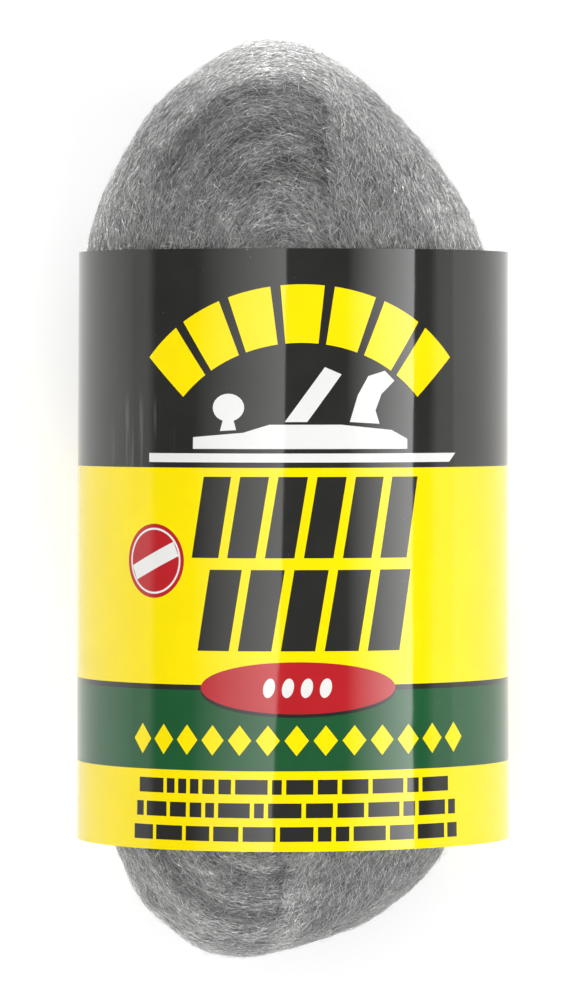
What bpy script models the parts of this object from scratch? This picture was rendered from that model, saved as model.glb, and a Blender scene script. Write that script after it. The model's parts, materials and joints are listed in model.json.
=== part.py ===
"""A hank of fine steel wool held by a printed paper sleeve, lying on its back.

A wide ribbon of wool is wound flat into a long hank, whose turns show on its two faces. A strip of
glossy paper goes round its middle and is glued to itself underneath. Metres, +Z up: the hank's length
lies along Y, its front looks up, and the origin is on the surface it lies on, under its middle.
"""

import math

import bmesh
import bpy
from mathutils import Matrix, Vector
from mathutils.geometry import delaunay_2d_cdt

# The paper sleeve: a round section with a flat spot below, where it lies
SLEEVE_WIDTH = 0.099
SLEEVE_CORNER = 0.022         # radius from the flat spot up into the round
FLAT_SPOT = 0.0316            # width of the flat spot
SLEEVE_FLARE = 0.0009         # how much wider its lower edge is than its upper one
CREST_SHIFT = 0.0036          # how far the front's crest lies to the left at the lower edge
PAPER = 0.0003
ARC_STEP = math.radians(5.0)

# Its glued lap, in the middle of the flat spot
LAP = 0.014                   # overlap of the two ends
LAP_JOG = 0.0015              # length over which the inner end rises onto the outer end
LAP_GAP = 0.0003              # between the outer end's edge and that rise
GLUE_LINE = 0.0001
GLUE_MARGIN = 0.002           # the glue stops this far inside the lap's edges

# Its printed fields, from the lower edge up, which together are its length
YELLOW_FOOT = 0.0179
GREEN_FIELD = 0.0179
DARK_LINE = 0.0012
YELLOW_FIELD = 0.0484
BLACK_FIELD = 0.0488

# The hank of wool
HANK_LENGTH = 0.210
SLEEVE_SHIFT = -0.0102        # the sleeve's middle from the hank's middle
SPRING_ACROSS = 0.0055        # without the sleeve it would stand this much wider on each side
SPRING_UP = 0.005             # and this much thicker, above and below
WOOL_CLEARANCE = 0.0003       # between the wool and the paper
SQUEEZE_SOFTNESS = 0.0015     # how softly the wool meets the paper
TOP_ROUNDNESS = 1.95          # superellipse powers of the two ends, seen from the front
BOTTOM_ROUNDNESS = 2.2
FACE_ROUNDNESS = 2.5          # and of the two faces, seen from the side
TOP_LEAN = 0.0053             # how far each tip lies to the left of the middle
TOP_LEAN_POWER = 1.5
BOTTOM_LEAN = 0.0126
BOTTOM_LEAN_POWER = 6.4

# The turns of its ribbon
WINDING_CORE = 0.080          # length of the flat core that the ribbon is wound round
TURNS = 7
TURN_GROOVE = 0.0008          # depth of the groove between two turns
RIM_WIDTH = 0.0046            # the plain rim outside the turns, on the way from core to tip
LAST_TURN_WIDTH = 0.0085      # the last turn begins this far from the tip
LAST_TURN_BLEND = 0.0026      # and rises over this width
LAST_TURN_RISE = 0.0018       # it stands above the turns inside it
FLAP_EDGE = 0.012             # right of this line the ribbon's end covers the front
FLAP_BLEND = 0.0028           # width of the slope at that edge
TUFT_HEIGHT = 0.0009          # from the low to the high places of the uneven wool at both ends
TUFT_FADE = 0.006             # the tufts begin over this length from the sleeve's edges
TUFTS_ROUND = 12              # waves of tufts round the hank, and from its core to its rim
TUFTS_ACROSS = 6
MESH_STEPS_ROUND = 64         # mesh columns round the hank
MESH_STEPS_PER_TURN = 4
MESH_STEPS_RIM = 8

# The arch of blocks on the black field
ARCH_RADIUS = 0.0378          # its inner edge
ARCH_BAND = 0.013
ARCH_DROP = 0.010             # its centre lies this far below the black field
ARCH_SPREAD = math.radians(94)
ARCH_BLOCKS = 7
ARCH_GAP = math.radians(2.6)

# The bench and the plane on it, below the arch
BENCH_RISE = 0.0012           # above the foot of the black field
BENCH_LENGTH = 0.074
BENCH_THICKNESS = 0.002
PLANE_LENGTH = 0.050
PLANE_GAP = 0.001             # between the bench and the plane's sole

# The slanted bars, the disc and the oval on the yellow field, and the diamonds on the green one
BAR_HEIGHT = 0.0181
BAR_SLANT = 0.0028
BAR_GAP = 0.0021
LOWER_BARS_RISE = 0.0076      # above the foot of the yellow field
LOWER_BARS = 5
LOWER_BARS_WIDTH = 0.0465
ROW_GAP = 0.0026
UPPER_BARS = 6
UPPER_BARS_WIDTH = 0.050
DISC_ACROSS = -0.0353
DISC_RISE = 0.0275
DISC_RADIUS = 0.0083
OVAL_DROP = 0.0006            # its middle lies this far below the yellow field
OVAL_WIDTH = 0.0446
OVAL_HEIGHT = 0.0116
OVAL_SHADOW = 0.0008          # the dark edge that shows below it
DIAMONDS = 13
DIAMOND_ROW = 0.077
DIAMOND_WIDTH = 0.0054
DIAMOND_HEIGHT = 0.0068
DIAMOND_RISE = 0.0068         # their middle above the foot of the green field

INKS = {
    "ink_black": ((0.031, 0.031, 0.029), 0.22),
    "ink_yellow": ((1.0, 0.87, 0.004), 0.22),
    "ink_green": ((0.018, 0.106, 0.038), 0.22),
    "ink_red": ((0.52, 0.022, 0.028), 0.22),
    "ink_white": ((0.86, 0.86, 0.84), 0.25),
    "bare_paper": ((0.80, 0.80, 0.77), 0.60),
}
WOOL_COLOUR = (0.23, 0.23, 0.225)

SLEEVE_RADIUS = SLEEVE_WIDTH / 2
SLEEVE_LENGTH = YELLOW_FOOT + GREEN_FIELD + DARK_LINE + YELLOW_FIELD + BLACK_FIELD
SLEEVE_BOTTOM = SLEEVE_SHIFT - SLEEVE_LENGTH / 2
SLEEVE_TOP = SLEEVE_SHIFT + SLEEVE_LENGTH / 2
GREEN_BOTTOM = SLEEVE_BOTTOM + YELLOW_FOOT
GREEN_TOP = GREEN_BOTTOM + GREEN_FIELD
YELLOW_BOTTOM = GREEN_TOP + DARK_LINE
BLACK_BOTTOM = YELLOW_BOTTOM + YELLOW_FIELD

# The round's axis, where the corner's arc touches both the flat spot and the round
AXIS_HEIGHT = SLEEVE_CORNER + math.sqrt(
    (SLEEVE_RADIUS - SLEEVE_CORNER) ** 2 - (FLAT_SPOT / 2) ** 2
)
CORNER_ANGLE = math.atan2(AXIS_HEIGHT - SLEEVE_CORNER, FLAT_SPOT / 2)
LAP_HEIGHT = PAPER + GLUE_LINE

# Where the turns end and the last one begins, as shares of the way from core to rim
TURNS_LENGTH = (HANK_LENGTH - WINDING_CORE) / 2
FACE_REACH = 1 - RIM_WIDTH / TURNS_LENGTH
LAST_TURN_REACH = 1 - LAST_TURN_WIDTH / TURNS_LENGTH
LAST_TURN_FOOT = LAST_TURN_REACH - LAST_TURN_BLEND / TURNS_LENGTH


def smooth_step(value, start, end):
    """0 before start, 1 after end, and a smooth rise between them."""
    share = min(1.0, max(0.0, (value - start) / (end - start)))
    return share * share * (3 - 2 * share)


def soft_least(a, b, softness):
    """The smaller of two lengths, with the corner between them rounded."""
    low, high = min(a, b), max(a, b)
    return low - softness * math.log1p(math.exp((low - high) / softness))


# The sleeve's section


def arc(centre_x, centre_z, radius, start, end):
    """A function that walks an arc, and the arc's length. Angles are from +X, in radians."""
    turn = end - start

    def walk(share):
        angle = start + turn * share
        return centre_x + radius * math.cos(angle), centre_z + radius * math.sin(angle)

    return walk, abs(turn) * radius


def level(start_x, end_x, height):
    """A function that walks a level line, and its length."""

    def walk(share):
        return start_x + (end_x - start_x) * share, height

    return walk, abs(end_x - start_x)


def jog(start_x, end_x, rise):
    """A function that walks a small S up onto the lap, and its length."""

    def walk(share):
        return start_x + (end_x - start_x) * share, rise * smooth_step(share, 0.0, 1.0)

    return walk, abs(end_x - start_x)


def wrap_stretches():
    """The outside of the wrapped strip, from its outer end round to its inner end.

    Each stretch is (walk, length, steps).
    """
    half_turn = math.pi
    down = -half_turn / 2
    corner_steps = max(3, round((CORNER_ANGLE + down) / (-1.4 * ARC_STEP)))
    round_steps = 2 * round((half_turn + 2 * CORNER_ANGLE) / (2 * ARC_STEP))
    foot = FLAT_SPOT / 2
    end = LAP / 2
    rise_end = end + LAP_GAP
    rise_start = rise_end + LAP_JOG
    left = (-foot, SLEEVE_CORNER, SLEEVE_CORNER, down, CORNER_ANGLE - half_turn)
    over = (0.0, AXIS_HEIGHT, SLEEVE_RADIUS, half_turn + CORNER_ANGLE, -CORNER_ANGLE)
    right = (foot, SLEEVE_CORNER, SLEEVE_CORNER, -CORNER_ANGLE, down)
    parts = [
        (level(end, -end, 0.0), 1),
        (level(-end, -foot, 0.0), 1),
        (arc(*left), corner_steps),
        (arc(*over), round_steps),
        (arc(*right), corner_steps),
        (level(foot, rise_start, 0.0), 1),
        (jog(rise_start, rise_end, LAP_HEIGHT), 4),
        (level(rise_end, end, LAP_HEIGHT), 1),
        (level(end, -end, LAP_HEIGHT), 1),
    ]
    return [(walk, length, steps) for (walk, length), steps in parts]


STRETCHES = wrap_stretches()
FRONT_MIDDLE = sum(length for _, length, _ in STRETCHES[:3]) + STRETCHES[3][1] / 2


def strip_columns():
    """Places along the strip where its mesh has a column of vertices."""
    places, begun = [0.0], 0.0
    for _, length, steps in STRETCHES:
        places += [begun + length * (step + 1) / steps for step in range(steps)]
        begun += length
    return places


def wrap(place):
    """(x, z) of the outside of the wrapped strip, at a place along it."""
    for walk, length, _ in STRETCHES:
        if place <= length:
            return walk(place / length)
        place -= length
    last_walk = STRETCHES[-1][0]
    return last_walk(1.0)


def flare(y):
    """Width of the sleeve at a height along it, as a share of its width in the middle."""
    return 1 + SLEEVE_FLARE / SLEEVE_WIDTH * (SLEEVE_SHIFT - y) / SLEEVE_LENGTH


def settled(x, y, z):
    """The same point with the front's crest moved to the left, more towards the lower end."""
    down = max(0.0, (SLEEVE_TOP - y) / SLEEVE_LENGTH)
    up = max(0.0, (z - AXIS_HEIGHT) / SLEEVE_RADIUS)
    return Vector((x - CREST_SHIFT * down * up * up, y, z))


def room_inside(angle):
    """How far the wool can reach from the sleeve's axis in that direction."""
    inset = PAPER + WOOL_CLEARANCE
    if math.sin(angle) > -math.sin(CORNER_ANGLE):
        room = SLEEVE_RADIUS - inset
    else:
        drop = SLEEVE_CORNER - AXIS_HEIGHT
        to_corner = abs(math.cos(angle)) * FLAT_SPOT / 2 + math.sin(angle) * drop
        offset = (FLAT_SPOT / 2) ** 2 + drop**2 - (SLEEVE_CORNER - inset) ** 2
        room = to_corner + math.sqrt(max(0.0, to_corner**2 - offset))
    if math.sin(angle) < 0:
        room = min(room, (AXIS_HEIGHT - LAP_HEIGHT - inset) / -math.sin(angle))
    return room


# The hank of wool


def lean(y):
    """How far the hank's middle line lies to the left at y."""
    share = abs(y) / (HANK_LENGTH / 2)
    if y > 0:
        return -TOP_LEAN * share**TOP_LEAN_POWER
    return -BOTTOM_LEAN * share**BOTTOM_LEAN_POWER


def signed_power(value, power):
    return math.copysign(abs(value) ** power, value)


def hank_outline(turn):
    """(x, y) of the hank's free outline, seen from the front, with no lean."""
    roundness = TOP_ROUNDNESS if math.sin(turn) > 0 else BOTTOM_ROUNDNESS
    power = 2 / roundness
    return (
        (SLEEVE_RADIUS + SPRING_ACROSS) * signed_power(math.cos(turn), power),
        HANK_LENGTH / 2 * signed_power(math.sin(turn), power),
    )


def last_turn_share(reach, x):
    """1 where the ribbon's last turn or its end lies on top, 0 on the turns inside it."""
    rim = smooth_step(reach, LAST_TURN_FOOT, LAST_TURN_REACH)
    flap = smooth_step(x, FLAP_EDGE - FLAP_BLEND, FLAP_EDGE)
    return max(rim, flap)


def tuft(turn, reach, y):
    """How far the wool stands out there, none of it under the sleeve."""
    above = smooth_step(y, SLEEVE_TOP, SLEEVE_TOP + TUFT_FADE)
    below = smooth_step(-y, -SLEEVE_BOTTOM, TUFT_FADE - SLEEVE_BOTTOM)
    along = math.sin(TUFTS_ROUND * turn + 3 * math.sin(turn) + 4 * reach)
    across = math.sin(2 * math.pi * TUFTS_ACROSS * reach + 2 * math.sin(2 * turn))
    return TUFT_HEIGHT / 2 * along * across * max(above, below)


def hank_point(turn, reach, side):
    """A point on the wool: turn goes round the hank, reach from its core to its rim.

    side is 1 on the front and -1 on the back.
    """
    rim_x, rim_y = hank_outline(turn)
    x = rim_x * reach
    y = rim_y * reach + WINDING_CORE / 2 * math.sin(turn) * (1 - reach)
    groove = 1 - abs(math.sin(math.pi * TURNS * min(1.0, reach / FACE_REACH)))
    shown = 1 - smooth_step(reach, FACE_REACH, 1.0)
    drop = TURN_GROOVE * groove * shown
    if side > 0:
        drop += LAST_TURN_RISE * (1 - last_turn_share(reach, x)) * shown
    free_height = SLEEVE_RADIUS if side > 0 else AXIS_HEIGHT
    crown = (1 - reach**FACE_ROUNDNESS) ** (1 / FACE_ROUNDNESS)
    z = side * max(0.0, (free_height + SPRING_UP) * crown - drop)
    x = (x + lean(y)) / flare(y)
    angle = math.atan2(z, x)
    held = soft_least(math.hypot(x, z), room_inside(angle), SQUEEZE_SOFTNESS)
    held += tuft(turn, reach, y)
    return settled(held * math.cos(angle) * flare(y), y, AXIS_HEIGHT + held * math.sin(angle))


def ring_reach(ring, face_rings):
    """How far out a ring of the mesh lies: even over the turns, then finer round the rim."""
    if ring <= face_rings:
        return FACE_REACH * ring / face_rings
    start = math.asin(FACE_REACH)
    share = (ring - face_rings) / MESH_STEPS_RIM
    return math.sin(start + (math.pi / 2 - start) * share)


def build_wool(collection, wool):
    """A ball whose poles are the middles of the two faces, so that its rings are the turns."""
    face_rings = TURNS * MESH_STEPS_PER_TURN
    rings = face_rings + MESH_STEPS_RIM
    body = bmesh.new()
    bmesh.ops.create_uvsphere(
        body, u_segments=MESH_STEPS_ROUND, v_segments=2 * rings, radius=1.0
    )
    for vertex in body.verts:
        x, y, z = vertex.co
        ring = round(math.atan2(math.hypot(x, y), abs(z)) / (math.pi / 2) * rings)
        side = 1 if z >= 0 else -1
        vertex.co = hank_point(math.atan2(y, x), ring_reach(ring, face_rings), side)
    bmesh.ops.recalc_face_normals(body, faces=body.faces)
    mesh = bpy.data.meshes.new("wool_hank")
    body.to_mesh(mesh)
    body.free()
    mesh.shade_smooth()
    mesh.materials.append(wool)
    hank = bpy.data.objects.new("wool_hank", mesh)
    collection.objects.link(hank)
    return hank


# The print on the flat strip: u runs across the front from its middle, y as on the hank


def ellipse(u, y, width, height, points):
    angles = [2 * math.pi * step / points for step in range(points)]
    return [(u + width / 2 * math.cos(a), y + height / 2 * math.sin(a)) for a in angles]


def slanted_bars(width, bottom, count):
    """A row of parallelograms that lean to the right, with its middle on the front's middle."""
    bar = (width + BAR_GAP) / count - BAR_GAP
    bars = []
    for number in range(count):
        left = -width / 2 + number * (bar + BAR_GAP)
        foot = [(left, bottom), (left + bar, bottom)]
        head = [(u + BAR_SLANT, bottom + BAR_HEIGHT) for u, _ in foot]
        bars.append(foot + head[::-1])
    return bars


def arch_blocks(centre_y):
    """A round arch of wedge blocks over the middle of the front."""
    block = (ARCH_SPREAD + ARCH_GAP) / ARCH_BLOCKS - ARCH_GAP
    blocks = []
    for number in range(ARCH_BLOCKS):
        start = -ARCH_SPREAD / 2 + number * (block + ARCH_GAP)
        angles = [start, start + block / 2, start + block]
        inside, outside = [
            [(radius * math.sin(a), centre_y + radius * math.cos(a)) for a in angles]
            for radius in (ARCH_RADIUS, ARCH_RADIUS + ARCH_BAND)
        ]
        blocks.append(outside[::-1] + inside)
    return blocks


def diamond_row(middle):
    tips = ((-0.5, 0.0), (0.0, -0.5), (0.5, 0.0), (0.0, 0.5))
    row = []
    for number in range(DIAMONDS):
        u = DIAMOND_ROW * (number / (DIAMONDS - 1) - 0.5)
        row.append([(u + DIAMOND_WIDTH * a, middle + DIAMOND_HEIGHT * b) for a, b in tips])
    return row


# A joiner's plane from its side, on a length of 50 and with its sole at 0
PLANE_BODY = [(-25, 0), (25, 0), (25, 2.2), (21, 4.2), (9, 5.4), (-7, 5.4), (-13, 3.6), (-25, 2.6)]
PLANE_IRON = [(-3.6, 6.0), (1.4, 6.0), (9.0, 16.6), (5.2, 18.2)]
PLANE_HANDLE = [
    (11, 6), (18, 5.6), (17, 8.6), (18.4, 12.2), (21.6, 15.2), (19.2, 17.4), (15.2, 16.2), (12.8, 12)
]
PLANE_STEM = [(-18.4, 4.0), (-14.6, 4.2), (-15.4, 7.0), (-17.6, 7.0)]
PLANE_KNOB = ellipse(-16.5, 9.2, 7.4, 6.2, 12)


def plane_and_bench():
    """The white outlines of the bench and of the plane that stands on it."""
    foot = BLACK_BOTTOM + BENCH_RISE
    top = foot + BENCH_THICKNESS
    half = BENCH_LENGTH / 2
    outlines = [[(-half, foot), (half, foot), (half + BENCH_THICKNESS, top), (-half, top)]]
    sole = top + PLANE_GAP
    scale = PLANE_LENGTH / 50
    for piece in (PLANE_BODY, PLANE_IRON, PLANE_HANDLE, PLANE_STEM, PLANE_KNOB):
        outlines.append([(scale * x, sole + scale * y) for x, y in piece])
    return outlines


def printed_shapes():
    """(ink, outline) of each shape on the front, the later ones over the earlier ones."""
    oval_y = YELLOW_BOTTOM - OVAL_DROP
    oval = ("ink_red", ellipse(0.0, oval_y, OVAL_WIDTH, OVAL_HEIGHT, 36))
    shadow = ("ink_black", ellipse(0.0, oval_y - OVAL_SHADOW, OVAL_WIDTH, OVAL_HEIGHT, 36))
    disc_y = YELLOW_BOTTOM + DISC_RISE
    disc = ("ink_red", ellipse(DISC_ACROSS, disc_y, 2 * DISC_RADIUS, 2 * DISC_RADIUS, 24))
    lower = YELLOW_BOTTOM + LOWER_BARS_RISE
    upper = lower + BAR_HEIGHT + ROW_GAP
    bars = slanted_bars(LOWER_BARS_WIDTH, lower, LOWER_BARS)
    bars += slanted_bars(UPPER_BARS_WIDTH, upper, UPPER_BARS)
    shapes = [("ink_yellow", block) for block in arch_blocks(BLACK_BOTTOM - ARCH_DROP)]
    shapes += [("ink_white", outline) for outline in plane_and_bench()]
    shapes += [("ink_black", bar) for bar in bars]
    shapes += [("ink_yellow", diamond) for diamond in diamond_row(GREEN_BOTTOM + DIAMOND_RISE)]
    return shapes + [disc, shadow, oval]


def field_ink(y):
    """The colour of the plain field at a height on the sleeve."""
    if y > BLACK_BOTTOM:
        return "ink_black"
    if y > YELLOW_BOTTOM:
        return "ink_yellow"
    if y > GREEN_TOP:
        return "ink_black"
    return "ink_green" if y > GREEN_BOTTOM else "ink_yellow"


def inside(point, outline):
    """Whether a point lies in a closed outline, by counting the sides to its right."""
    u, y = point
    crossed = False
    for (u0, y0), (u1, y1) in zip(outline, outline[1:] + outline[:1]):
        if (y0 > y) != (y1 > y) and u < u0 + (y - y0) / (y1 - y0) * (u1 - u0):
            crossed = not crossed
    return crossed


def flat_print(shapes):
    """The flat strip, cut along its fields, its mesh columns and its shapes.

    It gives the points and, for each triangle that lies on the strip, its corners and its middle.
    """
    rows = [SLEEVE_BOTTOM, GREEN_BOTTOM, GREEN_TOP, YELLOW_BOTTOM, BLACK_BOTTOM, SLEEVE_TOP]
    columns = strip_columns()
    points = [Vector((place - FRONT_MIDDLE, y)) for place in columns for y in rows]
    sides = []
    for column in range(len(columns)):
        first = column * len(rows)
        sides += [(first + row, first + row + 1) for row in range(len(rows) - 1)]
        if column:
            sides += [(first + row - len(rows), first + row) for row in range(len(rows))]
    for _, outline in shapes:
        first, count = len(points), len(outline)
        points += [Vector(point) for point in outline]
        sides += [(first + n, first + (n + 1) % count) for n in range(count)]
    merge_within = 1e-6
    cut = delaunay_2d_cdt(points, sides, [], 0, merge_within)
    points = cut[0]
    on_strip = []
    for corners in cut[2]:
        middle = sum((points[corner] for corner in corners), Vector((0.0, 0.0))) / 3
        if SLEEVE_BOTTOM < middle.y < SLEEVE_TOP:
            on_strip.append((corners, middle))
    return points, on_strip


def glue_film(collection, paper):
    """The film of glue in the lap, which makes the strip one closed band."""
    reach = LAP / 2 - GLUE_MARGIN
    ends = (SLEEVE_BOTTOM + GLUE_MARGIN, SLEEVE_TOP - GLUE_MARGIN)
    heights = (PAPER / 2, LAP_HEIGHT + PAPER / 2)
    body = bmesh.new()
    bmesh.ops.create_cube(body, size=1.0)
    size = Matrix.Diagonal((2 * reach, ends[1] - ends[0], heights[1] - heights[0], 1.0))
    place = Matrix.Translation((0.0, sum(ends) / 2, sum(heights) / 2))
    body.transform(place @ size)
    mesh = bpy.data.meshes.new("glue_film")
    body.to_mesh(mesh)
    body.free()
    mesh.materials.append(paper)
    glue = bpy.data.objects.new("glue_film", mesh)
    glue.hide_render = True
    glue.display_type = "WIRE"
    collection.objects.link(glue)
    return glue


def build_sleeve(collection, inks, glue):
    """The printed strip, cut flat, wrapped round the section and given its thickness inwards."""
    shapes = printed_shapes()
    points, triangles = flat_print(shapes)
    wrapped = []
    for u, y in points:
        x, z = wrap(u + FRONT_MIDDLE)
        wrapped.append(settled(x * flare(y), y, z))
    mesh = bpy.data.meshes.new("paper_sleeve")
    mesh.from_pydata(wrapped, [], [corners for corners, _ in triangles])
    names = list(INKS)
    for name in names:
        mesh.materials.append(inks[name])
    for face, (_, middle) in zip(mesh.polygons, triangles):
        ink = field_ink(middle.y)
        for shape_ink, outline in shapes:
            if inside(middle, outline):
                ink = shape_ink
        face.material_index = names.index(ink)
    mesh.shade_smooth()
    sleeve = bpy.data.objects.new("paper_sleeve", mesh)
    collection.objects.link(sleeve)
    wall = sleeve.modifiers.new("paper", "SOLIDIFY")
    wall.thickness = PAPER
    wall.offset = -1.0
    wall.use_even_offset = True
    wall.material_offset = len(names)
    wall.material_offset_rim = len(names)
    bond = sleeve.modifiers.new("glued_lap", "BOOLEAN")
    bond.operation = "UNION"
    bond.solver = "EXACT"
    bond.object = glue
    return sleeve


def plain_material(name, colour, roughness, metallic):
    material = bpy.data.materials.new(name)
    material.use_nodes = True
    shader = material.node_tree.nodes["Principled BSDF"]
    shader.inputs["Base Color"].default_value = (*colour, 1.0)
    shader.inputs["Roughness"].default_value = roughness
    shader.inputs["Metallic"].default_value = metallic
    material.diffuse_color = (*colour, 1.0)
    return material


def main():
    for thing in list(bpy.data.objects):
        bpy.data.objects.remove(thing)
    collection = bpy.data.collections.new("steel_wool_pad")
    helpers = bpy.data.collections.new("helpers")
    helpers.hide_render = True
    bpy.context.scene.collection.children.link(collection)
    bpy.context.scene.collection.children.link(helpers)
    wool = plain_material("steel_wool", WOOL_COLOUR, 0.55, 0.6)
    inks = {
        name: plain_material(name, colour, roughness, 0.0)
        for name, (colour, roughness) in INKS.items()
    }
    build_wool(collection, wool)
    build_sleeve(collection, inks, glue_film(helpers, inks["bare_paper"]))


main()
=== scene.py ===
import json
import math
import random

import bpy
import numpy as np
from mathutils import Matrix, Vector
from mathutils.geometry import delaunay_2d_cdt

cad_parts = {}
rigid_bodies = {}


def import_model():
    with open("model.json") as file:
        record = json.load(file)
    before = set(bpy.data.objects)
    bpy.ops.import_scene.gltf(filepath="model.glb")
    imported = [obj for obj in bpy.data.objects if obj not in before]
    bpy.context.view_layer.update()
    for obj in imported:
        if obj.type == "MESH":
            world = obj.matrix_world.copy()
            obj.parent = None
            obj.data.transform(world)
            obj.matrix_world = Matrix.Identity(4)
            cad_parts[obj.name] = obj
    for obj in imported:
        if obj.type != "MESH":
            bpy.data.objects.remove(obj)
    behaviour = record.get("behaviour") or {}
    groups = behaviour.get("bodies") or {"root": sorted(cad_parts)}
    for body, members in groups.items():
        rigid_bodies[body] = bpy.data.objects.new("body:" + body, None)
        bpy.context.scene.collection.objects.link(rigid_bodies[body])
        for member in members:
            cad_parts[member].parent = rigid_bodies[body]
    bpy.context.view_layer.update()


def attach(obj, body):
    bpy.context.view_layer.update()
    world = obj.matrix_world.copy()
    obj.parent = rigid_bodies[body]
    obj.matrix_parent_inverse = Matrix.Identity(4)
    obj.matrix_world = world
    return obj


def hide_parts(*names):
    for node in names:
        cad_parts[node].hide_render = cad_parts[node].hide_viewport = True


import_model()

mm = 0.001
pieces = bpy.data.collections.new("steelWoolPad")
studio = bpy.data.collections.new("studio")
bpy.context.scene.collection.children.link(pieces)
bpy.context.scene.collection.children.link(studio)


# Camera. It looks down from nearly 1.5 m, above a point a little towards the larger wool end.
view = {
    "foot": (-1.3 * mm, 27.9 * mm),
    "height": 1.527,
    "aim": (-1.3 * mm, 0.1 * mm, 47 * mm),
    "fieldHeight": 229.5 * mm,     # what the frame takes in at the height of the aim
}


def makeCamera(settings):
    camera = bpy.data.cameras.new("camera")
    holder = bpy.data.objects.new("camera", camera)
    studio.objects.link(holder)
    place = Vector((*settings["foot"], settings["height"]))
    aim = Vector(settings["aim"])
    back = (place - aim).normalized()
    right = Vector((0, 1, 0)).cross(back).normalized()
    axes = Matrix((right, back.cross(right), back)).transposed()
    holder.matrix_world = Matrix.Translation(place) @ axes.to_4x4()
    camera.sensor_fit = "VERTICAL"
    camera.angle = 2 * math.atan(settings["fieldHeight"] / 2 / (place - aim).length)
    camera.clip_start = 0.05
    camera.clip_end = 30.0
    bpy.context.scene.camera = holder
    bpy.context.scene.view_settings.view_transform = "Standard"


makeCamera(view)
print("camera placed")


# Node helpers. A value is a plain number or colour, or the output of another node.
def setInput(tree, socket, value):
    if isinstance(value, (int, float, tuple)):
        socket.default_value = value
    else:
        tree.links.new(value, socket)


def mathNode(tree, operation, first, second=0.0, clamp=False):
    node = tree.nodes.new("ShaderNodeMath")
    node.operation = operation
    node.use_clamp = clamp
    setInput(tree, node.inputs[0], first)
    setInput(tree, node.inputs[1], second)
    return node.outputs[0]


def times(tree, first, second, clamp=False):
    return mathNode(tree, "MULTIPLY", first, second, clamp)


def noiseNode(tree, vector, scale, detail=2.0, roughness=0.5, distortion=0.0):
    node = tree.nodes.new("ShaderNodeTexNoise")
    values = {"Vector": vector, "Scale": scale, "Detail": detail, "Roughness": roughness, "Distortion": distortion}
    for label, value in values.items():
        setInput(tree, node.inputs[label], value)
    return node.outputs["Fac"]


def rangeNode(tree, value, fromMin, fromMax, toMin=0.0, toMax=1.0, smooth=True):
    node = tree.nodes.new("ShaderNodeMapRange")
    node.interpolation_type = "SMOOTHSTEP" if smooth else "LINEAR"
    values = {"Value": value, "From Min": fromMin, "From Max": fromMax, "To Min": toMin, "To Max": toMax}
    for label, amount in values.items():
        setInput(tree, node.inputs[label], amount)
    return node.outputs["Result"]


def mixColours(tree, share, first, second):
    node = tree.nodes.new("ShaderNodeMix")
    node.data_type = "RGBA"
    for label, value in (("Factor", share), ("A", first), ("B", second)):
        setInput(tree, [s for s in node.inputs if s.name == label and s.enabled][0], value)
    return [s for s in node.outputs if s.name == "Result" and s.enabled][0]


def stretchedVector(tree, vector, along, across):
    split = tree.nodes.new("ShaderNodeSeparateXYZ")
    join = tree.nodes.new("ShaderNodeCombineXYZ")
    tree.links.new(vector, split.inputs[0])
    tree.links.new(times(tree, split.outputs["X"], along), join.inputs["X"])
    tree.links.new(times(tree, split.outputs["Y"], across), join.inputs["Y"])
    return join.outputs[0]


# Lights. Two long panels over the front, whose edges show in the glossy paper, and a lamp beyond each end of the wool.
# The panels' angles are from straight up, and each grows brighter towards its right edge.
panels = {
    "leftPanel": {"from": -51, "to": -3, "distance": 1.25, "length": 0.5, "brightness": 3.0, "slant": 0.0},
    "rightPanel": {"from": 31, "to": 66, "distance": 1.25, "length": 0.6, "brightness": 6.2, "slant": 16.0},
}
endLamps = {
    "upperEndLamp": {"place": (-0.10, 1.5, 0.13), "sizes": (0.22, 0.7), "watts": 42.0},
    "lowerEndLamp": {"place": (0.10, -1.4, 0.42), "sizes": (0.22, 0.7), "watts": 13.0},
}
# Brightness to the sides and to the ends, where along Y it changes, and how high the white backdrop reaches.
surround = {
    "sides": 0.10, "ends": 1.05, "from": 0.25, "to": 0.60,
    "backdrop": 1.0, "backdropTop": 0.10, "clearAbove": 0.24,
}
floorPaper = {"size": 3.0, "height": -0.25 * mm, "tone": 0.80, "lift": 0.31}


def areaLamp(name, place, turn, sizes, watts):
    lamp = bpy.data.lights.new(name, "AREA")
    lamp.shape = "RECTANGLE"
    lamp.size, lamp.size_y = sizes
    lamp.energy = watts
    holder = bpy.data.objects.new(name, lamp)
    studio.objects.link(holder)
    holder.location = place
    holder.rotation_euler = turn
    holder.visible_camera = False
    return lamp


def fadeAcross(lamp):
    lamp.use_nodes = True
    nodes, links = lamp.node_tree.nodes, lamp.node_tree.links
    place = nodes.new("ShaderNodeNewGeometry")
    split = nodes.new("ShaderNodeSeparateXYZ")
    ramp = nodes.new("ShaderNodeMapRange")
    ramp.inputs["To Max"].default_value = 2.0
    links.new(place.outputs["Parametric"], split.inputs[0])
    links.new(split.outputs["X"], ramp.inputs["Value"])
    links.new(ramp.outputs["Result"], nodes["Emission"].inputs["Strength"])


def makeLamps():
    for name, panel in panels.items():
        start, end = math.radians(panel["from"]), math.radians(panel["to"])
        lean = (start + end) / 2
        width = 2 * panel["distance"] * math.tan((end - start) / 2)
        place = (panel["distance"] * math.sin(lean), 0.0, 0.05 + panel["distance"] * math.cos(lean))
        watts = panel["brightness"] / 2 * math.pi * width * panel["length"]
        turn = (Matrix.Rotation(lean, 3, "Y") @ Matrix.Rotation(math.radians(panel["slant"]), 3, "Z")).to_euler()
        fadeAcross(areaLamp(name, place, turn, (width, panel["length"]), watts))
    for name, lamp in endLamps.items():
        toObject = Vector((0.0, 0.0, 0.05)) - Vector(lamp["place"])
        areaLamp(name, lamp["place"], toObject.to_track_quat("-Z", "Y").to_euler(), lamp["sizes"], lamp["watts"])


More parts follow.
